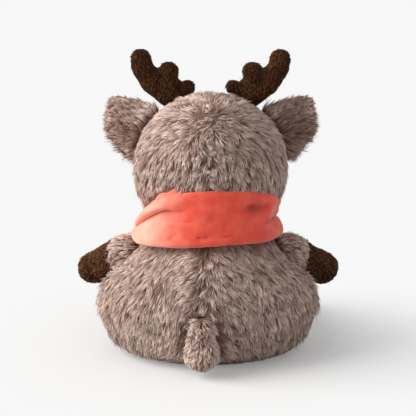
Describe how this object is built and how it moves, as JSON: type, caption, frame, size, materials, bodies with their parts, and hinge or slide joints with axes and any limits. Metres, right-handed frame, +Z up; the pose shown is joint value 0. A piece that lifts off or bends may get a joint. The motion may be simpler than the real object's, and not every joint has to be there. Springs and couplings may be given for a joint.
{
  "type": "plush deer",
  "caption": "Sitting plush deer with a stuffed fur body, swinging stub limbs, turning head, folding ears, soft antlers, a lifting tail and a tied scarf.",
  "frame": {"origin": "middle of the deer's bounding box in X and Y, on the floor that it sits on", "axes": "+Z up, the deer faces -Y, and its own left is +X"},
  "size_m": [0.2142, 0.2063, 0.2402],
  "materials": {
    "fur": "long pile",
    "velour": "short pile",
    "lining": "short pile",
    "muzzle": "short pile",
    "scarf": "smooth knit",
    "filling": "matt",
    "pellets": "matt",
    "eye": "gloss",
    "washer": "satin"
  },
  "bodies": {
    "torso": {"torso_back_left": "fur", "torso_back_right": "fur", "torso_belly": "fur", "torso_filling": "filling", "pellet_bag": "pellets", "scarf_wrap": "scarf", "scarf_knot": "scarf"},
    "neck": {"neck_wad": "filling"},
    "head": {"head_back_left": "fur", "head_back_right": "fur", "head_face": "fur", "head_filling": "filling", "muzzle_cover": "muzzle", "muzzle_filling": "filling", "nose": "velour", "eye_left": "eye", "eye_right": "eye", "eye_washer_left": "washer", "eye_washer_right": "washer"},
    "left_ear": {"ear_back_left": "fur", "ear_lining_left": "lining"},
    "right_ear": {"ear_back_right": "fur", "ear_lining_right": "lining"},
    "left_antler": {"antler_left": "velour", "antler_filling_left": "filling"},
    "right_antler": {"antler_right": "velour", "antler_filling_right": "filling"},
    "left_arm": {"arm_left_sleeve": "fur", "arm_left_hoof": "velour", "arm_left_filling": "filling"},
    "right_arm": {"arm_right_sleeve": "fur", "arm_right_hoof": "velour", "arm_right_filling": "filling"},
    "left_leg": {"leg_left_sleeve": "fur", "leg_left_hoof": "velour", "leg_left_filling": "filling"},
    "right_leg": {"leg_right_sleeve": "fur", "leg_right_hoof": "velour", "leg_right_filling": "filling"},
    "tail": {"tail_cover": "fur", "tail_filling": "filling"},
    "left_scarf_end": {"scarf_end_left": "scarf"},
    "right_scarf_end": {"scarf_end_right": "scarf"}
  },
  "joints": [
    {"name": "head_turn", "type": "hinge", "parent": "torso", "child": "neck", "pos_m": [-0.002, 0.01495, 0.14669], "axis": [0, 0, 1], "range_deg": [-25, 25], "stiffness_Nm_per_rad": 0.25},
    {"name": "head_nod", "type": "hinge", "parent": "neck", "child": "head", "pos_m": [-0.002, 0.01495, 0.14669], "axis": [1, 0, 0], "range_deg": [-12, 6], "stiffness_Nm_per_rad": 0.5},
    {"name": "left_ear_fold", "type": "hinge", "parent": "head", "child": "left_ear", "pos_m": [0.05153, 0.00327, 0.17396], "axis": [0.4355, -0.095, -0.8952], "range_deg": [-15, 15], "stiffness_Nm_per_rad": 0.05},
    {"name": "right_ear_fold", "type": "hinge", "parent": "head", "child": "right_ear", "pos_m": [-0.05553, 0.00327, 0.17396], "axis": [0.4355, 0.095, 0.8952], "range_deg": [-15, 15], "stiffness_Nm_per_rad": 0.05},
    {"name": "left_antler_bend", "type": "hinge", "parent": "head", "child": "left_antler", "pos_m": [0.02565, 0.0035, 0.19869], "axis": [1, 0, 0], "range_deg": [-12, 12], "stiffness_Nm_per_rad": 0.1},
    {"name": "right_antler_bend", "type": "hinge", "parent": "head", "child": "right_antler", "pos_m": [-0.02965, 0.0035, 0.19869], "axis": [1, 0, 0], "range_deg": [-12, 12], "stiffness_Nm_per_rad": 0.1},
    {"name": "left_arm_swing", "type": "hinge", "parent": "torso", "child": "left_arm", "pos_m": [0.06471, 0.01016, 0.07383], "axis": [-0.3395, 0.1583, -0.9272], "range_deg": [-20, 35], "stiffness_Nm_per_rad": 0.15},
    {"name": "right_arm_swing", "type": "hinge", "parent": "torso", "child": "right_arm", "pos_m": [-0.06471, 0.01016, 0.07383], "axis": [-0.3395, -0.1583, 0.9272], "range_deg": [-20, 35], "stiffness_Nm_per_rad": 0.15},
    {"name": "left_leg_lift", "type": "hinge", "parent": "torso", "child": "left_leg", "pos_m": [0.04447, -0.04004, 0.0221], "axis": [-0.9744, -0.225, 0], "range_deg": [0, 30], "stiffness_Nm_per_rad": 0.2},
    {"name": "right_leg_lift", "type": "hinge", "parent": "torso", "child": "right_leg", "pos_m": [-0.04447, -0.04004, 0.0221], "axis": [-0.9744, 0.225, 0], "range_deg": [0, 30], "stiffness_Nm_per_rad": 0.2},
    {"name": "tail_lift", "type": "hinge", "parent": "torso", "child": "tail", "pos_m": [0.00459, 0.09001, 0.03645], "axis": [1, 0, 0], "range_deg": [0, 50], "stiffness_Nm_per_rad": 0.05},
    {"name": "left_scarf_end_lift", "type": "hinge", "parent": "torso", "child": "left_scarf_end", "pos_m": [0.00502, -0.0508, 0.08258], "axis": [-1, 0, 0], "range_deg": [0, 70]},
    {"name": "right_scarf_end_lift", "type": "hinge", "parent": "torso", "child": "right_scarf_end", "pos_m": [-0.00902, -0.0508, 0.08258], "axis": [-1, 0, 0], "range_deg": [0, 70]}
  ]
}
